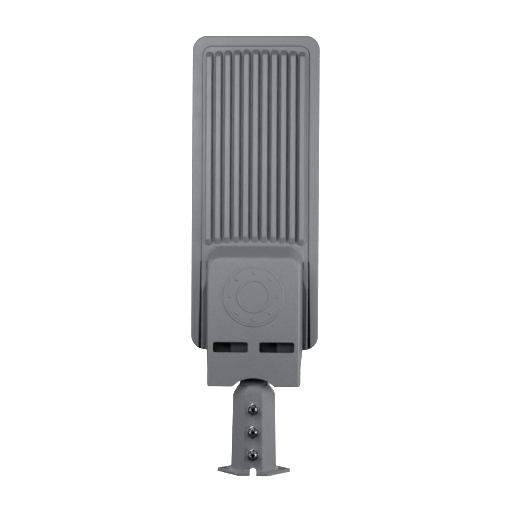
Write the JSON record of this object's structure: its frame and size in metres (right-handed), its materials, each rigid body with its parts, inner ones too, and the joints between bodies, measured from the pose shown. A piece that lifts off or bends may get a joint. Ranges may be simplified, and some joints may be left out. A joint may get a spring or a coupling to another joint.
{
  "type": "solar street lamp head",
  "caption": "Ribbed die-cast solar street lamp head with a battery box, tilting on an octagonal pole adaptor clamped by set screws.",
  "frame": {"origin": "centre of the underside of the adaptor's flange, on the pole socket's axis", "axes": "+Z along the pole adaptor and the head, towards the head's tip; the ribbed back faces -Y and the light side +Y"},
  "size_m": [0.16, 0.0712, 0.5461],
  "materials": {
    "grey_paint": "matte fine-textured grey powder coat on die-cast aluminium",
    "cover_paint": "satin grey powder coat on cast aluminium",
    "zinc_steel": "bright zinc-plated steel",
    "stainless": "stainless steel",
    "clear_lens": "clear moulded polycarbonate",
    "black_rubber": "matt silicone rubber",
    "red_rubber": "soft matt rubber",
    "black_nylon": "matt black nylon",
    "smoked_window": "dark gloss window",
    "board_white": "white solder mask",
    "board_green": "green solder mask",
    "cell_wrap": "shrink sleeve",
    "nickel": "nickel strip"
  },
  "bodies": {
    "adaptor": {"pole_adaptor": "grey_paint", "lock_nut_1": "zinc_steel", "lock_nut_2": "zinc_steel", "lock_nut_3": "zinc_steel"},
    "head": {"housing": "grey_paint", "pivot_bolt": "zinc_steel", "pivot_washer_head": "zinc_steel", "pivot_washer_nut": "zinc_steel", "pivot_spring_washer": "zinc_steel", "pivot_nut": "zinc_steel", "led_board": "board_white", "led_lead": "black_rubber", "lens_gasket": "black_rubber", "lens_plate": "clear_lens", "lens_frame": "cover_paint", "frame_screw_1": "stainless", "frame_screw_2": "stainless", "frame_screw_3": "stainless", "frame_screw_4": "stainless", "frame_screw_5": "stainless", "frame_screw_6": "stainless", "frame_screw_7": "stainless", "frame_screw_8": "stainless", "compartment_cover": "cover_paint", "cover_gasket": "black_rubber", "cover_screw_1": "stainless", "cover_screw_2": "stainless", "cover_screw_3": "stainless", "cover_screw_4": "stainless", "cover_screw_5": "stainless", "cover_screw_6": "stainless", "battery_cell_1": "cell_wrap", "battery_cell_2": "cell_wrap", "battery_cell_3": "cell_wrap", "cell_holder_lower": "black_nylon", "cell_holder_upper": "black_nylon", "cell_strip_lower": "nickel", "cell_strip_upper": "nickel", "controller_board": "board_green", "gland_body": "black_nylon", "gland_seal": "black_rubber", "gland_nut": "black_nylon", "gland_locknut": "black_nylon", "button_housing": "black_nylon", "button_nut": "zinc_steel", "indicator_window": "smoked_window"},
    "button": {"button_cap": "red_rubber"},
    "set_screw_1": {"set_screw_1": "zinc_steel"},
    "set_screw_2": {"set_screw_2": "zinc_steel"},
    "set_screw_3": {"set_screw_3": "zinc_steel"}
  },
  "joints": [
    {"name": "head_tilt", "type": "hinge", "parent": "adaptor", "child": "head", "pos_m": [0, -0.006, 0.136], "axis": [1, 0, 0], "range_deg": [-90, 15]},
    {"name": "set_screw_1_feed", "type": "slide", "parent": "adaptor", "child": "set_screw_1", "axis": [0, 1, 0], "range_m": [-0.003, 0.005]},
    {"name": "set_screw_2_feed", "type": "slide", "parent": "adaptor", "child": "set_screw_2", "axis": [0, 1, 0], "range_m": [-0.003, 0.005]},
    {"name": "set_screw_3_feed", "type": "slide", "parent": "adaptor", "child": "set_screw_3", "axis": [0, 1, 0], "range_m": [-0.003, 0.005]},
    {"name": "button_press", "type": "slide", "parent": "head", "child": "button", "axis": [0, -1, 0], "range_m": [0, 0.0012], "stiffness_N_per_m": 800, "springref_m": -0.0008}
  ]
}
